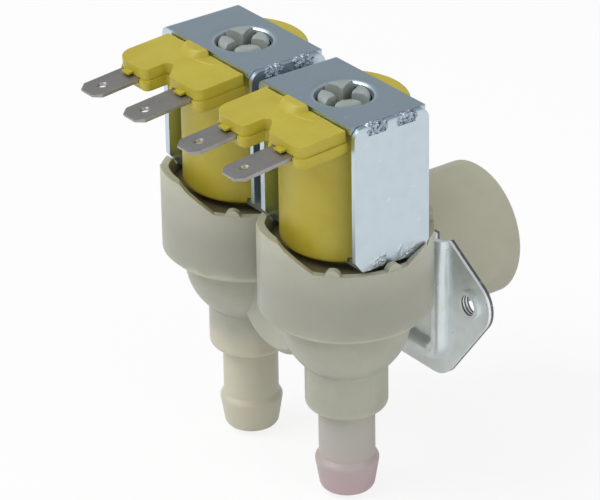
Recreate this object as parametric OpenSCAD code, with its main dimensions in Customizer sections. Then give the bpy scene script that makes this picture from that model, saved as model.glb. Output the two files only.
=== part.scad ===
/* [Layout] */
// Gap between the two yokes
yoke_gap = 2.15; // [2:0.1:4]
// How far the valve axes stand in front of the bracket's mounting face
axis_set = 23.8; // [22.5:0.1:27]

/* [Yoke] */
// Gap between the coil and the seamed leg
seam_leg_gap = 1.1; // [0.6:0.05:1.3]
// Gap between the coil and the plain leg
plain_leg_gap = 1.25; // [0.8:0.05:1.6]
// Depth of the yoke strip
yoke_d = 17.2; // [15:0.1:18]
// Height of a yoke
yoke_h = 29.35; // [28:0.05:31]
// Gap between the cup's walls and the yoke
cup_gap = 0.3; // [0.2:0.05:0.6]
// Thickness of the yoke strip
yoke_t = 1.3; // [1.1:0.05:1.4]
// Thickness of the flat plate that closes the yoke
plate_t = 1; // [0.8:0.05:1.3]
// Outside radius of the yoke's bends
yoke_bend = 1.7; // [1.5:0.1:2.4]
// Radius of the throat in the yoke's top and bottom holes
yoke_hole_r = 5.45; // [5.4:0.05:5.7]
// Radius of the rolled-in mouth of the top hole
yoke_mouth_r = 6.7; // [6.4:0.1:7.2]
// Height of the rim around the top hole, above the plate
yoke_rim_h = 0.8; // [0.4:0.1:1]
// Depth of the rolled-in mouth
yoke_mouth_depth = 1.1; // [0.6:0.1:1.2]
// Width of each of the two tabs that lock the yoke's seam
seam_tab_w = 3.8; // [3:0.1:4.4]
// Distance of the seam tabs from the middle of the strip
seam_tab_y = 3.4; // [2.8:0.1:4]
// How far the seam tabs reach down over the leg
seam_tab_drop = 2; // [1.6:0.1:2.6]
// Depth of the yoke's bottom plate, narrower than its legs
foot_d = 13.8; // [13:0.1:14.6]
// Height of the slanted corners where the legs narrow to the bottom plate
leg_chamfer = 2.2; // [1.8:0.1:3]
// Slanted back corner of the top plate over the plain leg
plate_corner = 1.4; // [1:0.1:2]
// Radius of the rounded top corners of the seamed leg
leg_round = 2.2; // [1.5:0.1:2.6]

/* [Coil] */
// Radius of the moulded coil
coil_r = 12.4; // [12.2:0.05:12.5]
// Thickness of the plastic moulded around the winding
coil_wall = 1.3; // [1:0.1:1.6]
// Radius of the round edges of the moulded coil
coil_edge_r = 0.8; // [0.4:0.1:1.2]
// Radius of the bobbin's bore
bobbin_bore_r = 6.35; // [6.3:0.05:6.4]
// Thickness of the bobbin's barrel and flanges
bobbin_t = 0.9; // [0.7:0.05:1]
// Gap between the copper winding and the moulding around it
winding_gap = 0.65; // [0.4:0.05:2]
// Length of each steel sleeve in the bobbin's bore
sleeve_len = 8.5; // [6:0.1:10]

/* [Terminal block] */
// Width of the terminal block
block_w = 25.1; // [24.5:0.1:26]
// Distance of the short lobe's front from the valve axis
block_front = 19.8; // [19:0.1:21]
// How much further the long lobe reaches
lobe_reach = 2.2; // [1:0.1:3]
// Height of the terminal block
block_h = 4.8; // [4.4:0.1:6]
// Radius of the long lobe's outer corner
long_corner = 4.2; // [3:0.1:5]
// Radius of the short lobe's outer corner
short_corner = 1.6; // [0.8:0.1:2.4]
// Distance of the notch between the lobes from the valve axis
notch_x = -0.9; // [-2:0.1:0]
// Width of the notch's round inner end
notch_w = 1.8; // [1.2:0.1:2.4]
// Depth of the notch behind the short lobe's front
notch_depth = 3.4; // [2.6:0.1:4]
// Height of the upper band around the block
band_h = 2.3; // [2:0.1:3]
// How far the upper band is set back from the ledge below it
band_inset = 0.35; // [0.2:0.05:0.6]
// Slanted lower edge of the ledge
ledge_chamfer = 0.7; // [0.4:0.1:1]
// Height of the block's top at its back, below the yoke's top
block_drop = 0.7; // [0.3:0.1:1.4]
// Angle by which the block falls towards its front
block_tilt = 4; // [2:0.5:5]
// Width of a flat blade terminal
blade_w = 6.3; // [6:0.1:6.6]
// Thickness of a blade terminal
blade_t = 0.8; // [0.7:0.05:0.9]
// Distance between the two blades of a coil
blade_pitch = 14.1; // [13.8:0.1:14.4]
// Distance of the blade tips from the valve axis
blade_reach = 31.8; // [29:0.1:33]
// Depth of the blades' middle below the block's top
blade_depth = 2.3; // [2.1:0.1:2.6]
// Angle by which the blades fall below the block's slope
blade_tilt = 1.5; // [0:0.5:2]
// Width of the thin tongue over a blade's root
tongue_w = 2.2; // [1.8:0.1:4]
// Reach of the tongue in front of the block
tongue_reach = 0.9; // [0.6:0.1:2]
// Radius of the hole in a blade
blade_hole_r = 0.65; // [0.5:0.05:0.9]

/* [Cups] */
// Outside radius of a valve cup
cup_r = 16.8; // [16.6:0.1:17.2]
// Thickness of the cup's wall
cup_wall = 1.5; // [1.4:0.1:1.6]
// Height of the cup's lower outside edge above the inlet axis
cup_base = 3.2; // [2.8:0.1:3.6]
// Height of the cup's low rim above the inlet axis
rim_low = 17.8; // [17.4:0.1:18]
// Height of the shoulders between the low rim and the high walls
rim_shoulder = 20.2; // [19.8:0.1:20.8]
// Height of the cup's high walls above the inlet axis
rim_high = 22.1; // [21:0.1:23]
// Radius of the round lugs on the low rim
rim_lug_r = 1.5; // [1.2:0.1:1.8]
// Height of the shelf that the diaphragm's bead lies on
shelf_z = 6.5; // [6:0.1:7]
// Thickness of the moulded walls below the cups
wall = 1.6; // [1.4:0.1:2]
// Radius of the bowls under the cups
bowl_r = 12.5; // [12.4:0.1:13]
// Height of the bowls' centres above the inlet axis
bowl_z = 1; // [0.6:0.1:1.4]

/* [Outlets] */
// Radius of the thick part of an outlet
stage_r = 8.05; // [7.8:0.05:8.6]
// Depth of the thick part's lower end below the inlet axis
stage_end = 18; // [17:0.1:20]
// Radius of the hose tube
tube_r = 5.5; // [5.3:0.05:5.8]
// Radius of the barb's ridge
barb_r = 6.25; // [6:0.05:6.6]
// Depth of the barb's ridge below the inlet axis
barb_z = 31; // [29:0.1:32]
// Depth of the outlet's tip below the inlet axis
tip_z = 36.2; // [35:0.1:38]
// Radius of the outlet's bore
outlet_bore_r = 3.9; // [3.4:0.05:4.1]

/* [Valve seats] */
// Radius of the bore at a valve's seat
seat_bore_r = 4.6; // [4:0.1:5]
// Outside radius of a valve's seat tube
seat_r = 6.4; // [6.2:0.1:6.8]
// Radius of the stiff disc on the diaphragm
disc_r = 8.2; // [7.4:0.1:8.6]
// Radius of the disc's hub
disc_hub_r = 2.5; // [2.2:0.1:3]
// Thickness of the disc's plate
disc_t = 1.2; // [0.8:0.1:1.4]
// Length of the disc's stem below the seat's lip
disc_stem = 2.2; // [1.8:0.1:2.6]
// Length of the tapered end of the stem
disc_lead = 0.8; // [0.6:0.05:1]
// Depth of the taper at the end of the stem
disc_taper = 0.3; // [0.2:0.05:0.4]
// Radius of the pilot hole through the disc
pilot_r = 0.6; // [0.4:0.05:0.9]
// Thickness of the nozzle's wall round the pilot hole
pilot_wall = 0.8; // [0.6:0.05:1]
// Height of the pilot seat above the valve's seat
pilot_rise = 3.4; // [3.2:0.05:3.6]
// Height of the nozzle's lip over the pilot seat
pilot_lip = 0.18; // [0.1:0.02:0.3]
// Inset of the nozzle's foot from the hub's side
pilot_foot = 0.5; // [0.4:0.05:0.6]
// Height of the plunger's end over the pilot seat when closed
pilot_gap = 0.5; // [0.4:0.05:0.6]
// Radius of the bleed hole beside the hub
bleed_r = 0.4; // [0.3:0.05:0.6]
// Thickness of the diaphragm's flat middle
skin_t = 1; // [0.8:0.05:1.2]
// Height of the seat's lip above the inlet axis
seat_z = 8.5; // [8:0.1:8.8]

/* [Inlet] */
// Radius of the inlet spigot
spigot_r = 13.1; // [12.9:0.05:13.22]
// Length of the inlet spigot beyond the mounting face
spigot_len = 20.8; // [18:0.1:22]
// Radius of the barrel that joins the bowls
barrel_r = 11.6; // [11:0.1:12]
// Distance of the barrel's closed end from the mounting face
barrel_end = 30.2; // [28:0.1:31]
// Radius of the gallery bore in the barrel
gallery_r = 8; // [7:0.1:9]
// Radius of the inlet's mouth, where the strainer sits
mouth_r = 10.8; // [10.4:0.1:11]
// Depth of the inlet's mouth
mouth_depth = 15; // [13:0.1:16]
// Length of the flow regulator's holder
holder_len = 4; // [3:0.1:5]
// Radius of the holder's ports
port_hole_r = 1.3; // [0.8:0.1:1.6]
// Length of the strainer's basket
strainer_len = 8; // [6:0.1:10]
// Spacing of the strainer's holes
mesh_pitch = 3; // [2.4:0.1:3.2]
// Thickness of the push-on cap over the inlet
cap_t = 0.5; // [0.4:0.05:0.6]

/* [Bracket] */
// Thickness of the bracket sheet
bracket_t = 1.2; // [1:0.1:1.5]
// Distance between the two screw holes
hole_span = 51; // [50.5:0.1:53]
// Radius of the screw holes
screw_r = 2.1; // [1.8:0.05:2.3]
// Outside radius of the drawn collars around the screw holes
collar_r = 2.9; // [2.7:0.05:3.4]
// Height of the drawn collars
collar_h = 0.8; // [0.5:0.1:1.6]
// Radius of the rounded ears around the screw holes
ear_r = 5.6; // [5.2:0.1:6.4]
// Radius of the bracket's lower corners
corner_r = 6.4; // [6:0.1:7]
// Height of the bracket's top edge above the inlet axis
bracket_top = 10.9; // [10:0.1:12]
// Depth of the bracket's bottom edge below the inlet axis
bracket_bottom = 19.3; // [18.5:0.1:21]
// Distance of the lower corners' centres from the middle
bracket_corner_x = 14.4; // [13:0.1:16]
// Half width of the bracket's flat top on each side
bracket_top_x = 18.9; // [18.8:0.1:21]
// Distance of the stiffening rib's uprights from the middle
rib_x = 16.6; // [16:0.1:18]
// Radius of the stiffening rib's section
rib_r = 2.1; // [1.8:0.1:2.2]
// Depth of the rib's lower run below the inlet axis
rib_low = 14.6; // [14.5:0.1:15.2]
// Radius of the bend between the rib's upright and lower runs
rib_bend = 3.4; // [2.6:0.1:4]
// Radius of the body's neck in the bracket's slot
neck_r = 11; // [10.6:0.1:11.2]
// Radius of the body's flange in front of the bracket
neck_flange_r = 12.3; // [11.8:0.1:12.4]

/* [Guide tube and plunger] */
// Outside radius of the guide tube
guide_r = 5.2; // [5.1:0.05:5.25]
// Thickness of the guide tube's wall
guide_wall = 0.9; // [0.7:0.05:1]
// Thickness of the guide tube's flange
guide_flange_h = 7.9; // [7:0.1:8.4]
// Height of the hub that the yoke stands on, above the flange
guide_hub_h = 1.7; // [1.2:0.1:2.4]
// Thickness of the skirt that presses on the diaphragm's bead
guide_skirt = 1.6; // [1.2:0.1:2]
// Thickness of the flange's roof
guide_roof = 1.8; // [1.4:0.1:2.2]
// Radius of the hub that the yoke stands on
guide_hub_r = 9; // [8:0.1:9.5]
// Radius of the hollow between the snap fingers
finger_bore_r = 3; // [2.4:0.1:3.4]
// Radius of the snap fingers' heads
finger_r = 5.55; // [5.4:0.05:5.6]
// Width of the slots between the snap fingers
finger_slot = 1.6; // [1.2:0.1:2]
// Travel of the plunger
plunger_travel = 3.8; // [3:0.1:4.2]
// Gap between the plunger and the guide tube
plunger_gap = 0.15; // [0.1:0.01:0.2]
// Thickness of the spring wire
wire_r = 0.22; // [0.18:0.01:0.3]

/* [Hidden] */
$fn = 64;
fit = 0.1;
loose = 0.25;
LEFT = -1;
RIGHT = 1;
cream = [0.78, 0.77, 0.69];
yellow = [0.76, 0.71, 0.28];
zinc = [0.66, 0.71, 0.74];
tin = [0.50, 0.49, 0.50];
steel = [0.60, 0.61, 0.63];
rubber = [0.13, 0.13, 0.13];
copper = [0.70, 0.36, 0.18];
white = [0.88, 0.87, 0.82];
bead_r0 = 12.4;
bead_r1 = 14.4;
bead_h = 2.2;
guide_seat = shelf_z + bead_h;
guide_flange_top = guide_seat + guide_flange_h;
yoke_bottom = guide_flange_top + guide_hub_h + 0.05;
yoke_top = yoke_bottom + yoke_h;
yoke_right = coil_r + seam_leg_gap + plate_t;
yoke_left = -(coil_r + plain_leg_gap + yoke_t);
pitch = yoke_right - yoke_left + yoke_gap;
bay_low = yoke_bottom + yoke_t;
bay_high = yoke_top - yoke_t;
cup_inner_r = cup_r - cup_wall;
bobbin_r = bobbin_bore_r + bobbin_t;
winding_r = coil_r - coil_wall - winding_gap;
bobbin_low = bay_low + fit;
bobbin_high = bay_high - fit;
window_angle = -31;

// Points along an arc in a plane, from angle a0 to a1
function arc(c, r, a0, a1, n = 10) =
    [for (i = [0 : n]) c + r * [cos(a0 + (a1 - a0) * i / n), sin(a0 + (a1 - a0) * i / n)]];

// Where a straight line from p touches a circle, on the side given by s
function touch(p, c, r, s) =
    let (d = p - c, l = norm(d), a = atan2(d[1], d[0]) + s * acos(r / l))
    c + r * [cos(a), sin(a)];

// Places its children on one valve's axis
module on_axis(side) {
    translate([side * pitch / 2, -axis_set, 0]) children();
}

// Turns a profile of radius and distance about the inlet's axis
module about_inlet() {
    rotate([-90, 0, 0]) rotate_extrude() children();
}

// Outside of one bowl, outlet stage, hose tube and barb
module outlet_profile() {
    stage_round = 1.5;
    meet = bowl_z - sqrt(pow(bowl_r, 2) - pow(stage_r, 2));
    polygon(concat(
        [[0, shelf_z], [bowl_r, shelf_z]],
        arc([0, bowl_z], bowl_r, 0, -acos(stage_r / bowl_r), 12),
        [[stage_r, meet]],
        arc([stage_r - stage_round, -stage_end + stage_round], stage_round, 0, -90, 6),
        [[tube_r, -stage_end], [tube_r, -barb_z + 2.4]],
        arc([barb_r - 1.1, -barb_z + 1.1], 1.1, 50, -15, 5),
        arc([barb_r - 2.3, -tip_z + 1.5], 1.5, -10, -90, 6),
        [[0, -tip_z]]
    ));
}

// Hollow inside one bowl, around the seat tube
module chamber_profile() {
    r = bowl_r - wall;
    low = bowl_z - sqrt(pow(r, 2) - pow(seat_r, 2));
    polygon(concat(
        [[seat_r, shelf_z + 1], [r, shelf_z + 1]],
        arc([0, bowl_z], r, 0, -acos(seat_r / r), 12),
        [[seat_r, low]]
    ));
}

// The two windows that lower the cup's rim beside the yoke
module rim_windows() {
    for (a = [window_angle, window_angle + 180])
        rotate([0, 0, a])
            rotate([90, 0, 90])
                linear_extrude(cup_r + 5)
                    polygon([
                        [-7.5, rim_low], [10.1, rim_low], [14.4, rim_shoulder], [cup_r + 3, rim_shoulder],
                        [cup_r + 3, rim_high + 1], [-14.6, rim_high + 1], [-12.4, rim_low + 3.1]
                    ]);
}

// Outline of the yoke's legs seen from the side, grown by a gap
module leg_side(gap) {
    top = yoke_top + yoke_rim_h + 1;
    for (s = [0, 1]) mirror([s, 0]) polygon([
        [0, yoke_bottom - gap], [foot_d / 2 + gap, yoke_bottom - gap],
        [yoke_d / 2 + gap, yoke_bottom + leg_chamfer - gap], [yoke_d / 2 + gap, top], [0, top]
    ]);
}

// Room for the yoke between the cup's walls
module yoke_room() {
    translate([yoke_left - cup_gap, 0, 0]) rotate([90, 0, 90])
        linear_extrude(yoke_right - yoke_left + 2 * cup_gap) leg_side(cup_gap);
}

module cup_outside() {
    chamfer = 1.3;
    difference() {
        rotate_extrude() polygon([
            [0, cup_base], [cup_r - chamfer, cup_base], [cup_r, cup_base + chamfer],
            [cup_r, rim_high], [0, rim_high]
        ]);
        rim_windows();
    }
    for (a = [window_angle, window_angle + 180], b = [-14.5, 27.5])
        rotate([0, 0, a + b])
            translate([cup_inner_r - 0.5, 0, rim_low - 0.2])
                rotate([0, 90, 0]) cylinder(r = rim_lug_r, h = cup_wall + 0.4, $fn = 32);
}

module valve_body() {
    color(cream)
    difference() {
        union() {
            for (side = [LEFT, RIGHT]) on_axis(side) {
                cup_outside();
                rotate_extrude() outlet_profile();
            }
            about_inlet() polygon([
                [0, -barrel_end], [barrel_r - 1.5, -barrel_end], [barrel_r, -barrel_end + 1.5],
                [barrel_r, -bracket_t - 2.2], [neck_flange_r, -bracket_t - 2.2],
                [neck_flange_r, -bracket_t], [neck_r, -bracket_t], [neck_r, 0],
                [spigot_r, 0], [spigot_r, spigot_len], [0, spigot_len]
            ]);
        }
        for (side = [LEFT, RIGHT]) on_axis(side) {
            translate([0, 0, shelf_z]) cylinder(r = cup_inner_r, h = rim_high);
            yoke_room();
            rotate_extrude() chamber_profile();
            translate([0, 0, -tip_z - 1]) cylinder(r = outlet_bore_r, h = tip_z);
            translate([0, 0, -stage_end + 4]) cylinder(r = seat_bore_r, h = stage_end + seat_z);
        }
        about_inlet() polygon([
            [0, -barrel_end + wall + 0.4], [gallery_r, -barrel_end + wall + 0.4],
            [gallery_r, spigot_len - mouth_depth], [mouth_r, spigot_len - mouth_depth],
            [mouth_r, spigot_len + 1], [0, spigot_len + 1]
        ]);
    }
    color(cream)
    for (side = [LEFT, RIGHT]) on_axis(side)
        rotate_extrude() polygon([
            [seat_bore_r, -stage_end + 6], [seat_r, -stage_end + 6], [seat_r, seat_z - 1],
            [seat_r - 0.8, seat_z - 0.2], [seat_r - 1, seat_z], [seat_bore_r, seat_z]
        ]);
}

module bracket_half() {
    ear = [hole_span / 2, 0];
    low = [bracket_corner_x, -bracket_bottom + corner_r];
    top = [bracket_top_x, bracket_top];
    span = norm(ear - low);
    slope = atan2(ear[1] - low[1], ear[0] - low[0]) - 90 + asin((corner_r - ear_r) / span);
    out = [cos(slope), sin(slope)];
    polygon([
        [0, -bracket_bottom], [low[0], -bracket_bottom], low + corner_r * out,
        ear + ear_r * out, touch(top, ear, ear_r, -1), top, [0, bracket_top]
    ]);
    translate(ear) circle(ear_r);
    translate(low) circle(corner_r);
}

// Half of the U-shaped rib, as a round bar of radius r that the sheet is drawn over
module rib(r) {
    corner = [rib_x - rib_bend, 0, -rib_low + rib_bend];
    translate([rib_x, -bracket_t, corner[2]]) cylinder(r = r, h = bracket_top + 10 - corner[2]);
    translate([-0.01, -bracket_t, -rib_low]) rotate([0, 90, 0]) cylinder(r = r, h = corner[0] + 0.01);
    translate([0, -bracket_t, 0]) translate(corner) rotate([90, 0, 0]) intersection() {
        rotate_extrude() translate([rib_bend, 0]) circle(r);
        translate([0, -2 * rib_x, -rib_x]) cube(2 * rib_x);
    }
}

module bracket() {
    slot_r = neck_r + fit;
    color(zinc)
    difference() {
        union() {
            rotate([90, 0, 0]) linear_extrude(bracket_t) {
                bracket_half();
                mirror([1, 0]) bracket_half();
            }
            for (s = [LEFT, RIGHT])
                translate([s * hole_span / 2, 0, 0])
                    rotate([90, 0, 0]) cylinder(r = collar_r, h = bracket_t + collar_h);
            rib(rib_r);
            mirror([1, 0, 0]) rib(rib_r);
        }
        rotate([90, 0, 0]) translate([0, 0, -5]) {
            cylinder(r = slot_r, h = 20);
            translate([-slot_r, 0, 0]) cube([2 * slot_r, bracket_top + 5, 20]);
        }
        for (s = [LEFT, RIGHT])
            translate([s * hole_span / 2, 5, 0]) rotate([90, 0, 0]) cylinder(r = screw_r, h = 20);
        translate([0, bracket_t, 0]) {
            rib(rib_r);
            mirror([1, 0, 0]) rib(rib_r);
        }
        translate([-100, 0, -50]) cube([200, 10, 100]);
        translate([-100, -50, bracket_top]) cube([200, 100, 50]);
    }
}

module inlet_cap() {
    r = spigot_r + fit;
    color(cream)
    about_inlet() polygon([
        [r, 0.8], [r + cap_t, 0.8], [r + cap_t, spigot_len], [r + cap_t - 0.4, spigot_len + cap_t],
        [0, spigot_len + cap_t], [0, spigot_len], [r, spigot_len]
    ]);
}

holder_y = spigot_len - mouth_depth;
strainer_y = holder_y + holder_len;
web_t = 1.5;
ring_r0 = 2.8;
ring_r1 = 7.4;
ring_h = 1.8;

module flow_holder() {
    r = mouth_r - fit;
    port_r = (ring_r0 + ring_r1) / 2 + 0.5;
    color(white)
    difference() {
        about_inlet() polygon([
            [ring_r0, holder_y], [r, holder_y], [r, strainer_y], [r - web_t, strainer_y],
            [r - web_t, holder_y + web_t], [ring_r0, holder_y + web_t]
        ]);
        for (a = [0 : 60 : 300])
            rotate([0, a, 0]) translate([port_r, holder_y - 1, 0])
                rotate([-90, 0, 0]) cylinder(r = port_hole_r, h = web_t + 2, $fn = 24);
    }
}

module flow_ring() {
    y = holder_y + web_t;
    color(rubber)
    about_inlet() polygon([
        [ring_r0 - 0.4, y + 0.2], [ring_r1 - 0.2, y],
        [ring_r1 + 0.2, y + ring_h], [ring_r0 + 0.4, y + ring_h + 0.2]
    ]);
}

module inlet_strainer() {
    end = strainer_y + strainer_len;
    rim_t = 1.2;
    skin = 1;
    basket_r = mouth_r - 1.4;
    slot_w = 2.4;
    color(white)
    difference() {
        about_inlet() polygon([
            [0, strainer_y], [basket_r, strainer_y], [basket_r, end - rim_t], [mouth_r - fit, end - rim_t],
            [mouth_r - fit, end], [basket_r - skin, end], [basket_r - skin, strainer_y + skin],
            [0, strainer_y + skin]
        ]);
        for (a = [0 : 30 : 330])
            rotate([0, a, 0]) translate([basket_r - 2 * skin, strainer_y + 2 * skin, -slot_w / 2])
                cube([3 * skin, strainer_len - 2 * skin - 2 * rim_t, slot_w]);
        for (x = [-2 : 2], z = [-2 : 2])
            translate([x * mesh_pitch, strainer_y - skin, z * mesh_pitch])
                rotate([-90, 0, 0]) cylinder(r = 0.3 * mesh_pitch, h = 3 * skin, $fn = 16);
    }
}

// Outline of the yoke seen from the front, bent at the plain leg and square at the flat plate
module yoke_outline(inset, inset_right, bend) {
    x0 = yoke_left + inset;
    x1 = yoke_right - inset_right;
    z0 = yoke_bottom + inset;
    z1 = yoke_top - inset;
    translate([x0 + bend, z0 + bend]) circle(bend);
    translate([x0 + bend, z1 - bend]) circle(bend);
    translate([x0 + bend, z0]) square([x1 - x0 - bend, z1 - z0]);
    translate([x0, z0 + bend]) square([bend, z1 - z0 - 2 * bend]);
}

// What is left of the strip after its foot is narrowed, seen from all sides
module strip_sides() {
    translate([yoke_left - 1, 0, 0]) rotate([90, 0, 90])
        linear_extrude(yoke_right - yoke_left + 2) leg_side(0);
}

// Cut beside the bottom plate, between the legs' bends
module foot_cut() {
    translate([yoke_left + yoke_bend, foot_d / 2, yoke_bottom - 1])
        cube([yoke_right - yoke_left - yoke_bend - plate_t, yoke_d, yoke_t + 1.2]);
}

// Slanted back corner of the top plate over the plain leg
module plate_corner_cut() {
    translate([yoke_left, yoke_d / 2, yoke_top - yoke_t - 1])
        rotate([0, 0, 45])
            cube([plate_corner * sqrt(2), plate_corner * sqrt(2), 3 * yoke_t], center = true);
}

// One rounded top corner of the leg that carries the seam
module leg_corner_cut() {
    translate([yoke_right - plate_t, yoke_d / 2 - leg_round, yoke_top - leg_round])
        rotate([90, 0, 90]) linear_extrude(3 * yoke_t) difference() {
            square(leg_round + 1);
            circle(leg_round);
        }
}

// The thin seam where the tabs of one end of the strip lie in the flat plate's notches
module seam_cut() {
    x = yoke_right - plate_t;
    gap = 0.12;
    notch_z = yoke_t - seam_tab_drop;
    difference() {
        union() {
            translate([x - gap, -yoke_d, -1]) cube([gap, 2 * yoke_d, yoke_t + 2]);
            for (s = [LEFT, RIGHT])
                translate([x - gap, s * seam_tab_y - seam_tab_w / 2 - gap, notch_z])
                    cube([plate_t + gap + 1, seam_tab_w + 2 * gap, seam_tab_drop + 1]);
        }
        for (s = [LEFT, RIGHT])
            translate([x - 2 * gap, s * seam_tab_y - seam_tab_w / 2, 0])
                cube([plate_t + 3, seam_tab_w, yoke_t + 4]);
    }
}

module yoke(side) {
    rim_foot = yoke_mouth_r + 1;
    color(zinc) on_axis(side)
    difference() {
        union() {
            intersection() {
                translate([0, yoke_d / 2, 0]) rotate([90, 0, 0]) linear_extrude(yoke_d)
                    difference() {
                        yoke_outline(0, 0, yoke_bend);
                        yoke_outline(yoke_t, plate_t, yoke_bend - yoke_t);
                    }
                strip_sides();
            }
            translate([0, 0, yoke_top]) rotate_extrude() polygon(concat(
                [[yoke_hole_r - 1, -yoke_t / 2], [rim_foot, -yoke_t / 2]],
                arc([rim_foot, yoke_rim_h], yoke_rim_h, -90, -150, 4),
                [[yoke_mouth_r, yoke_rim_h], [yoke_hole_r - 1, yoke_rim_h]]
            ));
        }
        translate([0, 0, yoke_bottom - 1]) cylinder(r = yoke_hole_r, h = yoke_h + 3);
        translate([0, 0, yoke_top + yoke_rim_h]) rotate_extrude() polygon(concat(
            [[0, 1], [yoke_mouth_r, 1]],
            arc([yoke_mouth_r, -yoke_mouth_depth], yoke_mouth_depth, 90, 180, 8),
            [[0, -yoke_mouth_depth]]
        ));
        foot_cut();
        mirror([0, 1, 0]) foot_cut();
        leg_corner_cut();
        mirror([0, 1, 0]) leg_corner_cut();
        plate_corner_cut();
        translate([0, 0, bay_high]) seam_cut();
        translate([0, 0, bay_low]) mirror([0, 0, 1]) seam_cut();
    }
}

// Places its children on a blade's middle plane, at the block's back
module at_blade(s) {
    tilted() translate([s * blade_pitch / 2, block_back - blade_root, -blade_depth])
        rotate([blade_tilt, 0, 0]) children();
}

// The coil's round moulding with slots for the yoke's plates
module coil_barrel() {
    low = yoke_bottom + 0.1;
    high = yoke_top - block_drop;
    slot = yoke_d / 2 + loose;
    foot_slot = foot_d / 2 + loose;
    difference() {
        rotate_extrude() polygon(concat(
            [[bobbin_bore_r + 0.6, low], [coil_r - coil_edge_r, low]],
            arc([coil_r - coil_edge_r, low + coil_edge_r], coil_edge_r, -90, 0, 5),
            arc([coil_r - coil_edge_r, high - coil_edge_r], coil_edge_r, 0, 90, 5),
            [[bobbin_bore_r + 0.6, high]]
        ));
        translate([-coil_r - 1, -foot_slot, low - 1])
            cube([2 * coil_r + 2, 2 * foot_slot, bay_low - low + 1 + fit]);
        translate([-coil_r - 1, -slot, bay_high - fit]) cube([2 * coil_r + 2, 2 * slot, 5]);
    }
}

block_back = yoke_d / 2 + 0.35;
block_top = yoke_top - block_drop;
blade_root = coil_r - coil_wall + 0.5;
lug_x = -1.6;
lug_r = 2.8;
lug_reach = 2.2;
tongue_t = 0.4;

// Outline of the terminal block seen from above, set in by a distance
module block_outline(inset) {
    half = block_w / 2 - inset;
    front = -block_front + inset;
    long = front - lobe_reach;
    corner = long_corner - inset;
    notch_r = notch_w / 2 + inset;
    notch = [notch_x, -block_front + notch_depth - notch_w / 2];
    leave = notch + notch_r * [cos(45), sin(45)];
    soft = 0.8;
    short = [leave[0] + leave[1] - front - soft + 2 * soft * sin(45), front + soft];
    polygon(concat(
        [[-half, -block_back], [-half, long + corner]],
        arc([-half + corner, long + corner], corner, 180, 270, 10),
        arc([notch_x - notch_r - 1.2, long + 1.2], 1.2, 270, 360, 4),
        arc(notch, notch_r, 180, 45, 6),
        arc(short, soft, 225, 270, 3),
        arc([half - short_corner, front + short_corner], short_corner, 270, 360, 6),
        [[half, -block_back]]
    ));
}

module tilted() {
    translate([0, -block_back, block_top]) rotate([block_tilt, 0, 0]) children();
}

module block_slab(inset, low, high) {
    translate([0, block_back, low]) linear_extrude(high - low) block_outline(inset);
}

// Thin tongue over the root of a blade
module tongue(s) {
    front = block_front + (s == LEFT ? lobe_reach : 0);
    low = -blade_depth + blade_t / 2 + fit;
    translate([s * blade_pitch / 2 - tongue_w / 2, block_back - front - tongue_reach, low])
        cube([tongue_w, tongue_reach + 2, tongue_t]);
}

module terminal_block() {
    tilted() {
        block_slab(band_inset, -band_h, 0);
        block_slab(0, -block_h + ledge_chamfer, -band_h);
        block_slab(ledge_chamfer, -block_h, -block_h + ledge_chamfer);
        for (s = [LEFT, RIGHT]) tongue(s);
    }
    translate([lug_x, 0, block_top - 0.5]) difference() {
        translate([0, -yoke_d / 2 - lug_reach + lug_r, 0]) cylinder(r = lug_r, h = block_drop + 0.5);
        translate([-2 * lug_r, -block_back, -1]) cube([4 * lug_r, 4 * lug_r, 4]);
    }
}

module coil(side) {
    color(yellow) on_axis(side)
    difference() {
        union() {
            coil_barrel();
            terminal_block();
        }
        translate([0, 0, bobbin_low - fit])
            cylinder(r = coil_r - coil_wall, h = bobbin_high - bobbin_low + 2 * fit);
        cylinder(r = bobbin_bore_r + 0.6, h = 100);
        translate([-2 * coil_r, -yoke_d / 2 - loose, bay_high - fit])
            cube([4 * coil_r, yoke_d + 2 * loose, 5]);
        for (s = [LEFT, RIGHT]) at_blade(s)
            translate([-blade_w / 2 - fit, -blade_reach, -blade_t / 2 - fit])
                cube([blade_w + 2 * fit, blade_reach + fit, blade_t + 2 * fit]);
    }
}

module bobbin(side) {
    r = coil_r - coil_wall - fit;
    color(white) on_axis(side)
    rotate_extrude() polygon([
        [bobbin_bore_r, bobbin_low], [r, bobbin_low], [r, bobbin_low + bobbin_t],
        [bobbin_r, bobbin_low + bobbin_t], [bobbin_r, bobbin_high - bobbin_t],
        [r, bobbin_high - bobbin_t], [r, bobbin_high], [bobbin_bore_r, bobbin_high]
    ]);
}

module winding(side) {
    color(copper) on_axis(side)
    translate([0, 0, bobbin_low + bobbin_t])
    difference() {
        cylinder(r = winding_r, h = bobbin_high - bobbin_low - 2 * bobbin_t);
        translate([0, 0, -1]) cylinder(r = bobbin_r, h = 50);
    }
}

module blade(side, s) {
    tip = blade_reach - blade_root;
    point = 1.3;
    color(tin) on_axis(side) at_blade(s)
    difference() {
        translate([0, 0, -blade_t / 2]) linear_extrude(blade_t) polygon([
            [-blade_w / 2, 0], [-blade_w / 2, -tip + 1.6], [-blade_w / 2 + point, -tip],
            [blade_w / 2 - point, -tip], [blade_w / 2, -tip + 1.6], [blade_w / 2, 0]
        ]);
        translate([0, -tip + 3.7, -2]) cylinder(r = blade_hole_r, h = 4);
    }
}

module sleeve(side, z) {
    color(steel) on_axis(side) translate([0, 0, z])
    difference() {
        cylinder(r = bobbin_bore_r - 0.05, h = sleeve_len);
        translate([0, 0, -1]) cylinder(r = guide_r + fit, h = sleeve_len + 2);
    }
}

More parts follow.
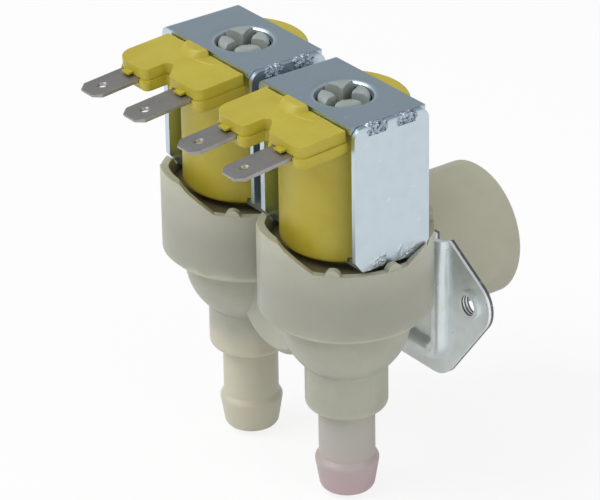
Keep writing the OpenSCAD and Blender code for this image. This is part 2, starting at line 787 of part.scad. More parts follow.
module guide_tube(side) {
    flange_r = cup_inner_r - fit;
    bore = guide_r - guide_wall;
    ceiling = guide_ceiling + 1.2;
    head = yoke_top - yoke_mouth_depth;
    color(cream) on_axis(side)
    difference() {
        rotate_extrude() polygon([
            [flange_r - guide_skirt, guide_seat], [flange_r, guide_seat], [flange_r, guide_flange_top],
            [guide_hub_r, guide_flange_top], [guide_hub_r, yoke_bottom - 0.05],
            [guide_r, yoke_bottom - 0.05],
            [guide_r, head], [finger_r, head + 0.1], [finger_r, head + 0.5], [guide_r, yoke_top - 0.1],
            [finger_bore_r, yoke_top - 0.1], [finger_bore_r, ceiling], [0, ceiling],
            [0, guide_ceiling], [bore, guide_ceiling], [bore, guide_flange_top - guide_roof],
            [flange_r - guide_skirt, guide_flange_top - guide_roof]
        ]);
        for (a = [45, 135]) rotate([0, 0, a])
            translate([-10, -finger_slot / 2, ceiling + 0.5]) cube([20, finger_slot, 10]);
    }
}

pilot_z = seat_z + pilot_rise;
seal_r = 2.2;
seal_h = 2.4;
plunger_r = guide_r - guide_wall - plunger_gap;
plunger_low = pilot_z + pilot_gap;
guide_ceiling = bay_high - 2.7;
plunger_top = guide_ceiling - plunger_travel - 0.05;
plunger_len = plunger_top - plunger_low;
pocket = 12;

module plunger(side) {
    color(steel) on_axis(side) translate([0, 0, plunger_low])
    difference() {
        rotate_extrude() polygon([
            [0, 0], [plunger_r - 0.6, 0], [plunger_r, 0.6], [plunger_r, plunger_len - 0.4],
            [plunger_r - 0.4, plunger_len], [0, plunger_len]
        ]);
        translate([0, 0, -1]) cylinder(r = seal_r, h = 1 + seal_h);
        translate([0, 0, plunger_len - pocket]) cylinder(r = 2.4, h = pocket + 1);
    }
}

module plunger_seal(side) {
    color(rubber) on_axis(side) translate([0, 0, plunger_low - 0.3])
        cylinder(r = seal_r, h = seal_h + 0.3);
}

spring_r = 1.9;
spring_low = plunger_top - pocket + 0.02;
spring_high = guide_ceiling - 0.02;

module spring(side) {
    turns = 11;
    steps = 12;
    sides = 8;
    n = turns * steps;
    rise = spring_high - spring_low - 2 * wire_r;
    points = [for (i = [0 : n], j = [0 : sides - 1])
        let (a = 360 * i / steps, b = 360 * j / sides, r = spring_r + wire_r * cos(b))
        [r * cos(a), r * sin(a), spring_low + wire_r + rise * i / n + wire_r * sin(b)]];
    faces = concat(
        [[for (j = [0 : sides - 1]) j]],
        [[for (j = [sides - 1 : -1 : 0]) n * sides + j]],
        [for (i = [0 : n - 1], j = [0 : sides - 1])
            [i * sides + j, (i + 1) * sides + j, (i + 1) * sides + (j + 1) % sides, i * sides + (j + 1) % sides]]
    );
    color(steel) on_axis(side) polyhedron(points, faces);
}

module diaphragm(side) {
    sag = 0.9;
    color(rubber) on_axis(side)
    rotate_extrude() polygon([
        [disc_hub_r + 0.1, seat_z], [disc_r + 0.2, seat_z], [disc_r + 1.2, seat_z - sag],
        [bead_r0 - 1, seat_z - sag], [bead_r0, shelf_z], [bead_r1, shelf_z], [bead_r1, guide_seat],
        [bead_r0, guide_seat], [bead_r0 - 1.2, seat_z], [disc_r + 1.4, seat_z],
        [disc_r + 0.5, seat_z + skin_t], [disc_hub_r + 0.1, seat_z + skin_t]
    ]);
}

module disc(side) {
    low = seat_z - disc_stem;
    plate = seat_z + skin_t + 0.02;
    lip = pilot_z + pilot_lip;
    color(white) on_axis(side)
    difference() {
        rotate_extrude() polygon([
            [pilot_r, low], [disc_hub_r - disc_taper, low], [disc_hub_r, low + disc_lead], [disc_hub_r, plate],
            [disc_r, plate], [disc_r, plate + disc_t], [disc_hub_r - pilot_foot, plate + disc_t],
            [pilot_r + pilot_wall, lip], [pilot_r, lip]
        ]);
        translate([0.7 * disc_r, 0, 0]) cylinder(r = bleed_r, h = guide_seat + guide_flange_h, $fn = 16);
    }
}

valve_body();
bracket();
inlet_cap();
inlet_strainer();
flow_holder();
flow_ring();
yoke(LEFT);  // yoke_left
yoke(RIGHT);  // yoke_right
coil(LEFT);  // coil_left
coil(RIGHT);  // coil_right
bobbin(LEFT);  // bobbin_left
bobbin(RIGHT);  // bobbin_right
winding(LEFT);  // winding_left
winding(RIGHT);  // winding_right
blade(LEFT, LEFT);  // blade_left_outer
blade(LEFT, RIGHT);  // blade_left_inner
blade(RIGHT, LEFT);  // blade_right_inner
blade(RIGHT, RIGHT);  // blade_right_outer
sleeve(LEFT, bay_high - sleeve_len);  // sleeve_upper_left
sleeve(RIGHT, bay_high - sleeve_len);  // sleeve_upper_right
sleeve(LEFT, bay_low);  // sleeve_lower_left
sleeve(RIGHT, bay_low);  // sleeve_lower_right
guide_tube(LEFT);  // guide_tube_left
guide_tube(RIGHT);  // guide_tube_right
plunger(LEFT);  // plunger_left
plunger(RIGHT);  // plunger_right
plunger_seal(LEFT);  // plunger_seal_left
plunger_seal(RIGHT);  // plunger_seal_right
spring(LEFT);  // spring_left
spring(RIGHT);  // spring_right
diaphragm(LEFT);  // diaphragm_left
diaphragm(RIGHT);  // diaphragm_right
disc(LEFT);  // disc_left
disc(RIGHT);  // disc_right
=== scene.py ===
"""Looks of a double solenoid valve: finishes, softened edges, fittings, floor, lamps and camera."""

import logging
import math
from dataclasses import dataclass, field
from enum import Enum

import bmesh
import bpy
from mathutils import Matrix, Vector, noise


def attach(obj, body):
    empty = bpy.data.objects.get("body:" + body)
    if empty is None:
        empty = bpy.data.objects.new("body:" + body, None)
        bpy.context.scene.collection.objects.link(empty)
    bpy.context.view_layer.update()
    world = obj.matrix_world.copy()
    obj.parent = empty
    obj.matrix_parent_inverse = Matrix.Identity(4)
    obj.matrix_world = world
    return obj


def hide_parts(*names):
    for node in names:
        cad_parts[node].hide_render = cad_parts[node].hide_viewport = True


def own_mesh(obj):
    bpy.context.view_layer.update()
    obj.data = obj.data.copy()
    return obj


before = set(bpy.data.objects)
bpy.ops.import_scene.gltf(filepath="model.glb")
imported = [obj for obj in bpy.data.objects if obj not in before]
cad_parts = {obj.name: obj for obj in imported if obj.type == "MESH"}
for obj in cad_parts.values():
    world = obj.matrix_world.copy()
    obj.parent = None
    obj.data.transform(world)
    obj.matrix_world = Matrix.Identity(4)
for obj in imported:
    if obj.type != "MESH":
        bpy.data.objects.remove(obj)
log = logging.getLogger("valve")
MM = 0.001
Colour = tuple[float, float, float]
Point = tuple[float, float, float]
Span = tuple[float, float]
WHITE = (1.0, 1.0, 1.0, 1.0)
# Faces that meet within this many degrees are merged before their edges are rounded.
FLAT_ANGLE = 0.4


@dataclass(frozen=True)
class Valve:
    """One of the two valves, with sizes in millimetres."""

    name: str
    side: int
    pitch: float = 31.6
    axis_set: float = 23.8

    @property
    def axis(self) -> Vector:
        """The point of the valve's axis that is level with the screw holes."""
        return Vector((self.side * self.pitch / 2, -self.axis_set, 0.0))

    def place(self, x: float = 0.0, y: float = 0.0, z: float = 0.0) -> Matrix:
        """Gives the place of something that is drawn in millimetres about the valve's axis.

        Args:
            x: Its shift along X in millimetres.
            y: Its shift along Y in millimetres.
            z: Its shift along Z in millimetres.

        Returns:
            The matrix to the part's space in metres.
        """
        return Matrix.Scale(MM, 4) @ Matrix.Translation(self.axis + Vector((x, y, z)))


VALVES = (Valve("left", -1), Valve("right", 1))


def linear(colour: Colour) -> tuple[float, float, float, float]:
    """Turns a display colour into the linear colour that a shader takes.

    Args:
        colour: Red, green and blue as seen on a display, from 0 to 1.

    Returns:
        Red, green, blue and an alpha of 1.
    """
    parts = [c / 12.92 if c <= 0.04045 else ((c + 0.055) / 1.055) ** 2.4 for c in colour]
    return (parts[0], parts[1], parts[2], 1.0)


def shade(colour: Colour, factor: float) -> tuple[float, float, float, float]:
    """Gives the linear colour of a display colour times a factor, with 1 as the most."""
    return linear(tuple(min(1.0, factor * c) for c in colour))


class Wire:
    """An output socket, on which shader sums are written as Python expressions."""

    def __init__(self, tree: "NodeTree", socket: bpy.types.NodeSocket) -> None:
        """Holds the tree that the socket belongs to, and the socket."""
        self.tree = tree
        self.socket = socket

    def math(self, operation: str, *others: "Wire | float") -> "Wire":
        """Adds a Math node that starts from this wire.

        Args:
            operation: Name of the Math node's operation.
            others: The other operands, in order.

        Returns:
            The result's wire.
        """
        return self.tree.sum(operation, self, *others)

    def __add__(self, other: "Wire | float") -> "Wire":
        """Gives this plus other."""
        return self.math("ADD", other)

    __radd__ = __add__

    def __mul__(self, other: "Wire | float") -> "Wire":
        """Gives this times other."""
        return self.math("MULTIPLY", other)

    __rmul__ = __mul__

    def __sub__(self, other: "Wire | float") -> "Wire":
        """Gives this minus other."""
        return self.math("SUBTRACT", other)

    def __rsub__(self, other: "Wire | float") -> "Wire":
        """Gives other minus this."""
        return self.tree.sum("SUBTRACT", other, self)

    def step(self, low: float, high: float) -> "Wire":
        """Rises smoothly from 0 at low to 1 at high.

        Args:
            low: Value at which the result leaves 0.
            high: Value at which the result reaches 1.

        Returns:
            The smoothed mask.
        """
        sockets = {"Value": self, "From Min": low, "From Max": high}
        node = self.tree.node("ShaderNodeMapRange", sockets, interpolation_type="SMOOTHSTEP")
        return Wire(self.tree, node.outputs["Result"])

    def above(self, limit: Span) -> "Wire":
        """Masks what lies above a soft limit in millimetres, for a wire in metres."""
        return self.step(limit[0] * MM, limit[1] * MM)

    def below(self, limit: Span) -> "Wire":
        """Masks what lies below a soft limit in millimetres, for a wire in metres."""
        return 1.0 - self.above(limit)


class NodeTree:
    """Fills a node tree."""

    def __init__(self, tree: bpy.types.NodeTree) -> None:
        """Holds a tree and empties it."""
        self.tree = tree
        tree.nodes.clear()

    def feed(self, socket: bpy.types.NodeSocket, value: object) -> None:
        """Gives an input a wire, an output socket or a plain value."""
        source = value.socket if isinstance(value, Wire) else value
        if isinstance(source, bpy.types.NodeSocket):
            self.tree.links.new(source, socket)
        else:
            socket.default_value = source

    def node(self, kind: str, sockets: dict | None = None, **settings: object) -> bpy.types.Node:
        """Adds one node.

        Args:
            kind: The node's type.
            sockets: What each input takes, by its name or index.
            settings: The node's own properties, which are set first.

        Returns:
            The new node.
        """
        made = self.tree.nodes.new(kind)
        for key, value in settings.items():
            setattr(made, key, value)
        for key, value in (sockets or {}).items():
            self.feed(made.inputs[key], value)
        return made

    def sum(self, operation: str, *operands: "Wire | float") -> Wire:
        """Adds a Math node.

        Args:
            operation: Name of the Math node's operation.
            operands: Wires or numbers, in order.

        Returns:
            The result's wire.
        """
        node = self.node("ShaderNodeMath", dict(enumerate(operands)), operation=operation)
        return Wire(self, node.outputs[0])


class Shader(NodeTree):
    """Builds one material from nodes."""

    def __init__(self, name: str) -> None:
        """Starts an empty material with a Principled shader.

        Args:
            name: The material's name.
        """
        self.material = bpy.data.materials.new(name)
        self.material.use_nodes = True
        super().__init__(self.material.node_tree)
        self.surface = self.node("ShaderNodeBsdfPrincipled")
        body = self.surface.outputs["BSDF"]
        self.output = self.node("ShaderNodeOutputMaterial", {"Surface": body})
        self.place = self.node("ShaderNodeTexCoord").outputs["Object"]

    def noise(self, scale: float, detail: float = 2.0, stretch: Point = (1.0, 1.0, 1.0)) -> Wire:
        """Gives soft noise in the part's own space.

        Args:
            scale: Features per metre.
            detail: Octaves of finer noise.
            stretch: How the space is scaled along X, Y and Z before the noise.

        Returns:
            A wire from 0 to 1.
        """
        mapping = self.node("ShaderNodeMapping", {"Vector": self.place, "Scale": stretch})
        space = mapping.outputs["Vector"]
        sockets = {"Vector": space, "Scale": scale, "Detail": detail, "Roughness": 0.6}
        return Wire(self, self.node("ShaderNodeTexNoise", sockets).outputs["Fac"])

    def axis(self, name: str) -> Wire:
        """Gives one coordinate of the part's space in metres, by the name X, Y or Z."""
        return Wire(self, self.node("ShaderNodeSeparateXYZ", {"Vector": self.place}).outputs[name])

    def facing(self, name: str) -> Wire:
        """Gives how far the surface faces along an axis either way, from 0 to 1."""
        normal = self.node("ShaderNodeNewGeometry").outputs["True Normal"]
        split = self.node("ShaderNodeSeparateXYZ", {"Vector": normal})
        return Wire(self, split.outputs[name]).math("ABSOLUTE")

    def blend(self, mask: "Wire | float", first: object, second: object) -> bpy.types.NodeSocket:
        """Mixes two colours.

        Args:
            mask: 0 gives the first colour and 1 the second.
            first: A linear colour or a colour socket.
            second: A linear colour or a colour socket.

        Returns:
            The mixed colour's socket.
        """
        sockets = {0: mask, 6: first, 7: second}
        return self.node("ShaderNodeMix", sockets, data_type="RGBA").outputs[2]

    def relief(self, height: Wire, depth: float) -> None:
        """Roughens the surface.

        Args:
            height: Height from 0 to 1.
            depth: Depth of the full height in metres.
        """
        bump = self.node("ShaderNodeBump", {"Height": height, "Distance": depth, "Strength": 1.0})
        self.feed(self.surface.inputs["Normal"], bump.outputs["Normal"])

    def set(self, **sockets: object) -> None:
        """Sets or links the Principled shader's sockets, with _ for a space in a name."""
        for key, value in sockets.items():
            self.feed(self.surface.inputs[key.replace("_", " ")], value)


@dataclass(frozen=True)
class MouldedPlastic:
    """A moulded plastic with faint clouds, a fine grain and small dark specks."""

    name: str
    colour: Colour
    cloud: Colour
    roughness: float = 0.42
    specks: float = 0.2
    translucency: float = 0.0
    translucency_depth: float = 1.5
    ior: float = 1.5
    cloud_scale: float = 140.0
    cloud_level: Span = (0.3, 0.75)
    cloud_relief: float = 0.5
    grain_scale: float = 5200.0
    speck_scale: float = 1500.0
    speck_level: Span = (0.68, 0.78)
    speck_shade: float = 0.6
    mottle: float = 0.18
    grain_depth: float = 0.02

    def material(self) -> bpy.types.Material:
        """Builds the material."""
        shader = Shader(self.name)
        clouds = shader.noise(self.cloud_scale, 3.0)
        grain = shader.noise(self.grain_scale)
        clouded = clouds.step(*self.cloud_level)
        base = shader.blend(clouded, linear(self.colour), linear(self.cloud))
        base = self.tint(shader, base)
        dust = shader.noise(self.speck_scale).step(*self.speck_level) * self.specks
        base = shader.blend(dust, base, shade(self.cloud, self.speck_shade))
        shader.set(Base_Color=base, IOR=self.ior)
        shader.set(Roughness=self.roughness - self.mottle / 3 + self.mottle * grain)
        shader.set(Subsurface_Weight=self.translucency, Subsurface_Scale=self.translucency_depth * MM)
        shader.relief(grain + self.cloud_relief * clouds, self.grain_depth * MM)
        return shader.material

    def tint(self, shader: Shader, base: bpy.types.NodeSocket) -> bpy.types.NodeSocket:
        """Leaves the colour as it is; a finish with zones of colour changes it here."""
        return base


@dataclass(frozen=True)
class BodyPlastic(MouldedPlastic):
    """The body's natural plastic: pale at thin edges, greyer where it is thick, rosy at one hose tip.

    The zones of colour have soft limits in millimetres, which wander a little.
    """

    thick: Colour = (0.60, 0.60, 0.55)
    thick_from: Span = (3.0, 7.0)
    thick_to: Span = (11.0, 17.0)
    thick_share: float = 0.7
    pale: Colour = (0.735, 0.745, 0.655)
    pale_bands: tuple[Span, ...] = ((3.9, 1.3), (-17.2, 1.3), (21.5, 4.5), (-27.5, 2.2))
    pale_core: float = 0.2
    pale_share: float = 0.5
    warm: Colour = (0.80, 0.78, 0.70)
    warm_to_x: Span = (-4.0, 2.0)
    warm_to: Span = (-16.0, -10.0)
    warm_share: float = 0.8
    mauve: Colour = (0.70, 0.68, 0.66)
    mauve_from_x: Span = (0.0, 4.0)
    mauve_to: Span = (-24.0, -14.0)
    mauve_share: float = 0.8
    rosy: Colour = (0.73, 0.64, 0.655)
    rosy_to: Span = (-33.0, -25.0)
    rosy_share: float = 0.9
    wander: float = 5.0
    wander_scale: float = 70.0

    def tint(self, shader: Shader, base: bpy.types.NodeSocket) -> bpy.types.NodeSocket:
        """Greys thick walls, lightens edges, warms the left outlet and reddens the right tip."""
        height = shader.axis("Z") + (shader.noise(self.wander_scale) - 0.5) * self.wander * MM
        across = shader.axis("X")
        right = across.above(self.mauve_from_x)
        grey = height.above(self.thick_from) * height.below(self.thick_to)
        base = shader.blend(grey * self.thick_share, base, linear(self.thick))
        for middle, reach in self.pale_bands:
            band = (height - middle * MM).math("ABSOLUTE").below((self.pale_core * reach, reach))
            base = shader.blend(band * self.pale_share, base, linear(self.pale))
        for mask, share, colour in (
            (across.below(self.warm_to_x) * height.below(self.warm_to), self.warm_share, self.warm),
            (right * height.below(self.mauve_to), self.mauve_share, self.mauve),
            (right * height.below(self.rosy_to), self.rosy_share, self.rosy),
        ):
            base = shader.blend(mask * share, base, linear(colour))
        return base


@dataclass(frozen=True)
class PlatedSheet:
    """Plated sheet steel with rolling streaks, faint stains and fine scratches; on the staked metal
    the stain colour is near-black painted shade.

    Dulling says how far streaks, stains and scratches roughen the gloss. Heights say how much
    streaks, grain and scratches count in the relief.
    """

    name: str
    colour: Colour
    stain_and_shade: Colour
    roughness: float = 0.3
    streak_axis: int = 1
    stained_and_shaded: float = 0.35
    metallic: float = 1.0
    stain_and_shade_scale: float = 260.0
    stain_and_shade_level: Span = (0.4, 0.75)
    streak_scale: float = 160.0
    streak_length: float = 14.0
    scratch_scale: float = 1400.0
    scratch_stretch: Point = (1.0, 0.3, 0.6)
    scratch_level: Span = (0.66, 0.74)
    scratch_shade: float = 1.1
    scratch_share: float = 0.3
    dulling: Point = (0.1, 0.08, -0.06)
    heights: Point = (1.0, 0.5, 0.4)
    grain_scale: float = 6000.0
    grain_depth: float = 0.01

    def material(self) -> bpy.types.Material:
        """Builds the material."""
        shader = Shader(self.name)
        along = [self.streak_length] * 3
        along[self.streak_axis] = 1.0
        streaks = shader.noise(self.streak_scale, 3.0, tuple(along))
        stains = shader.noise(self.stain_and_shade_scale, 4.0)
        scratches = shader.noise(self.scratch_scale, 2.0, self.scratch_stretch)
        scratches = scratches.step(*self.scratch_level)
        grain = shader.noise(self.grain_scale)
        stained_and_shaded = stains.step(*self.stain_and_shade_level) * self.stained_and_shaded
        base = shader.blend(stained_and_shaded, linear(self.colour), linear(self.stain_and_shade))
        base = self.tint(shader, base)
        bright = shade(self.colour, self.scratch_shade)
        base = shader.blend(scratches * self.scratch_share, base, bright)
        by_streaks, by_stains, by_scratches = self.dulling
        dulling_and_shade = by_streaks * streaks + by_stains * stains + by_scratches * scratches
        shader.set(Base_Color=base, Metallic=self.metallic, Roughness=self.roughness + dulling_and_shade)
        of_streaks, of_grain, of_scratches = self.heights
        height = of_streaks * streaks + of_grain * grain + of_scratches * scratches
        shader.relief(height, self.grain_depth * MM)
        return shader.material

    def tint(self, shader: Shader, base: bpy.types.NodeSocket) -> bpy.types.NodeSocket:
        """Leaves the colour as it is; a finish with zones of colour changes it here."""
        return base


@dataclass(frozen=True)
class YokeSheet(PlatedSheet):
    """The yokes' sheet, with its top plate painted darker as painted shade."""

    # painted shade: this darker colour on the top plate stands in for the dark reflection that the
    # flat top shows
    dulling_and_shade: Colour = (0.69, 0.755, 0.80)
    shaded_top_from: Span = (47.2, 47.6)

    def tint(self, shader: Shader, base: bpy.types.NodeSocket) -> bpy.types.NodeSocket:
        """Paints the top plate darker, as painted shade for its darker reflection."""
        return shader.blend(shader.axis("Z").above(self.shaded_top_from), base, linear(self.dulling_and_shade))


@dataclass(frozen=True)
class BracketSheet(PlatedSheet):
    """The bracket's sheet, with painted highlight and painted shade on its cut edge and in its
    threaded screw holes.
    """

    # painted highlight and painted shade: the cut edge's shear and fracture zones are drawn as a
    # bright and a dark band, and each screw hole as a dark wall with glinting thread
    painted_highlight: Colour = (0.97, 0.98, 1.0)
    painted_shade: Colour = (0.26, 0.28, 0.30)
    highlight_to: Span = (-0.68, -0.56)
    flat_from: Span = (-1.45, -1.3)
    edge_share: float = 0.9
    edge_facing: Span = (0.35, 0.7)
    ragged: float = 0.3
    ragged_scale: float = 900.0
    hole_x: float = 25.5
    hole_wall: Span = (2.09, 2.31)
    thread: float = 0.7
    thread_level: Span = (-0.3, 0.5)

    def tint(self, shader: Shader, base: bpy.types.NodeSocket) -> bpy.types.NodeSocket:
        """Paints bright and dark bands on the cut edge, and dark hole walls crossed by bright thread
        lines, as painted highlight and shade.
        """
        depth, height = shader.axis("Y"), shader.axis("Z")
        rough = (shader.noise(self.ragged_scale) - 0.5) * self.ragged * MM
        edge_shade_mask = (depth + rough).above(self.highlight_to)
        band = shader.blend(edge_shade_mask, linear(self.painted_highlight), linear(self.painted_shade))
        cut = (1.0 - shader.facing("Y").step(*self.edge_facing)) * depth.above(self.flat_from)
        base = shader.blend(cut * self.edge_share, base, band)
        # painted shade inside the screw holes, with painted highlights along the thread
        off = shader.axis("X").math("ABSOLUTE") - self.hole_x * MM
        low, high = ((radius * MM) ** 2 for radius in self.hole_wall)
        inside = 1.0 - (off * off + height * height).step(low, high)
        thread_glint = (depth * (2 * math.pi / (self.thread * MM))).math("SINE").step(*self.thread_level)
        wall = shader.blend(thread_glint, linear(self.painted_shade), linear(self.painted_highlight))
        return shader.blend(inside, base, wall)


@dataclass(frozen=True)
class BladeMetal(PlatedSheet):
    """The blades' matt tin, browner where they leave the block."""

    brown: Colour = (0.36, 0.29, 0.22)
    brown_from_y: Span = (-43.0, -40.4)
    brown_share: float = 0.75
    ragged: float = 2.4
    ragged_scale: float = 900.0

    def tint(self, shader: Shader, base: bpy.types.NodeSocket) -> bpy.types.NodeSocket:
        """Browns the metal towards the block."""
        edge = shader.noise(self.ragged_scale, 3.0) * self.ragged * MM
        near = (shader.axis("Y") + edge).above(self.brown_from_y)
        return shader.blend(near * self.brown_share, base, linear(self.brown))


@dataclass(frozen=True)
class PlainMetal:
    """Turned or wound metal with fine rings about the valve's axis."""

    name: str
    colour: Colour
    roughness: float = 0.3
    ring_scale: float = 1500.0
    ring_stretch: Point = (0.05, 0.05, 1.0)
    ring_depth: float = 0.03
    ring_dulling: float = 0.15
    cloud_scale: float = 300.0
    cloud_level: Span = (0.4, 0.75)
    cloud_shade: float = 0.75
    cloud_share: float = 0.5

    def material(self) -> bpy.types.Material:
        """Builds the material."""
        shader = Shader(self.name)
        rings = shader.noise(self.ring_scale, 2.0, self.ring_stretch)
        clouds = shader.noise(self.cloud_scale, 3.0).step(*self.cloud_level) * self.cloud_share
        base = shader.blend(clouds, linear(self.colour), shade(self.colour, self.cloud_shade))
        shader.set(Base_Color=base, Metallic=1.0)
        shader.set(Roughness=self.roughness + self.ring_dulling * rings)
        shader.relief(rings, self.ring_depth * MM)
        return shader.material


@dataclass(frozen=True)
class MouldedRubber:
    """Black rubber with a dusty bloom."""

    name: str
    colour: Colour = (0.11, 0.11, 0.11)
    bloom: Colour = (0.25, 0.25, 0.24)
    roughness: float = 0.62
    bloom_scale: float = 400.0
    bloom_level: Span = (0.45, 0.8)
    bloom_share: float = 0.4
    grain_scale: float = 5000.0
    grain_dulling: float = 0.2
    grain_depth: float = 0.02

    def material(self) -> bpy.types.Material:
        """Builds the material."""
        shader = Shader(self.name)
        bloom = shader.noise(self.bloom_scale, 4.0).step(*self.bloom_level) * self.bloom_share
        grain = shader.noise(self.grain_scale)
        base = shader.blend(bloom, linear(self.colour), linear(self.bloom))
        shader.set(Base_Color=base, Roughness=self.roughness + self.grain_dulling * grain)
        shader.relief(grain, self.grain_depth * MM)
        return shader.material


class Finish(Enum):
    """The finishes of the valve's pieces, each with the record's material slot as its name."""

    BODY = BodyPlastic(
        "body_nylon", (0.685, 0.685, 0.63), (0.65, 0.655, 0.595), roughness=0.33, translucency=0.25,
    )
    HEADS = MouldedPlastic(
        "body_nylon", (0.61, 0.645, 0.635), (0.57, 0.605, 0.595), roughness=0.4, specks=0.1,
        translucency=0.2,
    )
    # painted shade: the stems' dark olive-brown stands in for the shade under the coils, where the
    # stems show
    GUIDE = MouldedPlastic(
        "body_nylon", (0.50, 0.47, 0.35), (0.44, 0.41, 0.30), roughness=0.45, specks=0.1,
        translucency=0.1,
    )
    CAP = MouldedPlastic(
        "inlet_cap", (0.70, 0.695, 0.62), (0.68, 0.67, 0.59), specks=0.15, translucency=0.1,
    )
    ZINC = YokeSheet("zinc_sheet", (0.81, 0.86, 0.89), (0.75, 0.81, 0.86), roughness=0.27)
    # painted shade: the near-black patches on the staked metal stand in for the shade in its crevices
    # and its dark facet reflections
    SHADED_STAKES = PlatedSheet(
        "zinc_sheet", (0.74, 0.79, 0.84), (0.10, 0.11, 0.14), roughness=0.36, stained_and_shaded=1.0,
        stain_and_shade_scale=1500.0,
    )
    SHEET = BracketSheet(
        "zinc_sheet", (0.93, 0.96, 0.97), (0.84, 0.88, 0.87), roughness=0.24, streak_axis=2,
        stained_and_shaded=0.5, metallic=0.62,
    )
    PIERCED = PlatedSheet(
        "tinned_steel", (0.95, 0.95, 0.92), (0.9, 0.9, 0.88), roughness=0.35, stained_and_shaded=0.2,
        metallic=0.4,
    )
    COIL = MouldedPlastic(
        "coil_yellow", (0.73, 0.675, 0.225), (0.70, 0.64, 0.175), roughness=0.4, specks=0.12,
    )
    TIN = BladeMetal("tinned_steel", (0.66, 0.65, 0.64), (0.54, 0.52, 0.51), roughness=0.36)
    BOBBIN = MouldedPlastic("bobbin_white", (0.88, 0.87, 0.82), (0.84, 0.83, 0.77))
    COPPER = PlainMetal("copper_wire", (0.72, 0.38, 0.20), roughness=0.25, ring_scale=2600.0)
    STEEL = PlainMetal("plain_steel", (0.62, 0.63, 0.65))
    RUBBER = MouldedRubber("black_rubber")
    WHITE = MouldedPlastic("white_plastic", (0.88, 0.87, 0.82), (0.83, 0.82, 0.76))

    @property
    def slot(self) -> str:
        """The record's material slot."""
        return self.value.name

    def material(self) -> bpy.types.Material:
        """The finish's material, built once."""
        name = self.name.lower() + "_look"
        made = bpy.data.materials.get(name)
        if made is None:
            made = self.value.material()
            made.name = name
        return made


def dress(piece: bpy.types.Object, finish: Finish) -> None:
    """Gives a piece one finish all over.

    Args:
        piece: A mesh object.
        finish: The finish.
    """
    piece.data.materials.clear()
    piece.data.materials.append(finish.material())


def soften(piece: bpy.types.Object, radius: float, segments: int = 3, angle: float = 28.0) -> None:
    """Rounds a CAD node's edges with modifiers, which leave its mesh as it is.

    Args:
        piece: The node's object.
        radius: Width of the rounded edges in metres.
        segments: Number of steps across an edge.
        angle: Edges sharper than this, in degrees, are rounded.
    """
    flat = piece.modifiers.new("merge_flats", "DECIMATE")
    flat.decimate_type = "DISSOLVE"
    flat.angle_limit = math.radians(FLAT_ANGLE)
    bevel = piece.modifiers.new("round_edges", "BEVEL")
    bevel.width = radius
    bevel.segments = segments
    bevel.limit_method = "ANGLE"
    bevel.angle_limit = math.radians(angle)
    bevel.harden_normals = True
    bevel.miter_outer = "MITER_ARC"
    for polygon in piece.data.polygons:
        polygon.use_smooth = True
    smooth = piece.modifiers.new("even_normals", "WEIGHTED_NORMAL")
    smooth.keep_sharp = True


@dataclass
class NodeGroup:
    """CAD nodes that keep their shape and take one finish and one edge radius in millimetres."""

    nodes: tuple[str, ...]
    finish: Finish
    edge: float = 0.0

    def build(self) -> None:
        """Dresses the nodes and rounds their edges."""
        for name in self.nodes:
            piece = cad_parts[name]
            dress(piece, self.finish)
            if self.edge:
                soften(piece, self.edge * MM)
            else:
                for polygon in piece.data.polygons:
                    polygon.use_smooth = False
        log.info("%s: %d nodes", self.finish.slot, len(self.nodes))


def both(*names: str) -> tuple[str, ...]:
    """Gives each name once for the left and once for the right valve."""
    return tuple(f"{name}_{valve.name}" for name in names for valve in VALVES)


@dataclass
class Interior:
    """The pieces sealed inside, which keep their CAD shapes; the springs' sizes are in millimetres."""

    spring_top: float = 43.7
    spring_length: float = 11.96
    travel: float = 3.8
    groups: list[NodeGroup] = field(default_factory=lambda: [
        NodeGroup(both("bobbin"), Finish.BOBBIN),
        NodeGroup(both("winding"), Finish.COPPER),
        NodeGroup(both("sleeve_upper", "sleeve_lower", "plunger", "spring"), Finish.STEEL),
        NodeGroup(both("plunger_seal", "diaphragm") + ("flow_ring",), Finish.RUBBER),
        NodeGroup(both("disc") + ("flow_holder", "inlet_strainer"), Finish.WHITE),
    ])

    def build(self) -> None:
        """Dresses every inner piece and gives each spring a mesh of its own."""
        for group in self.groups:
            group.build()
        for valve in VALVES:
            spring = f"spring_{valve.name}"
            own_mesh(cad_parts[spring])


@dataclass
class Exterior:
    """The pieces that show."""

    groups: list[NodeGroup] = field(default_factory=lambda: [
        NodeGroup(("valve_body",), Finish.BODY, 0.42),
        NodeGroup(both("guide_tube"), Finish.HEADS),
        NodeGroup(("inlet_cap",), Finish.CAP, 0.3),
        NodeGroup(both("yoke"), Finish.ZINC),
        NodeGroup(("bracket",), Finish.SHEET, 0.22),
        NodeGroup(both("coil"), Finish.COIL, 0.4),
        NodeGroup(tuple(
            f"blade_{valve.name}_{place}" for valve in VALVES for place in ("outer", "inner")
        ), Finish.TIN),
    ])

    def build(self) -> None:
        """Dresses every outer piece."""
        for group in self.groups:
            group.build()


def piece_from(
    build: bmesh.types.BMesh, name: str, finish: Finish, replaced: tuple[str, ...] = (),
) -> bpy.types.Object:
    """Makes a piece from a mesh under construction and fixes it to the housing.

    Args:
        build: The mesh, in metres; it is freed.
        name: The piece's name.
        finish: Its finish.
        replaced: CAD nodes that the piece stands for.

    Returns:
        The new object.
    """
    bmesh.ops.recalc_face_normals(build, faces=build.faces)
    mesh = bpy.data.meshes.new(name)
    build.to_mesh(mesh)
    build.free()
    piece = bpy.data.objects.new(name, mesh)
    bpy.context.scene.collection.objects.link(piece)
    dress(piece, finish)
    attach(piece, "housing")
    if replaced:
        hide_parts(*replaced)
    log.info("%s: %d faces", name, len(mesh.polygons))
    return piece


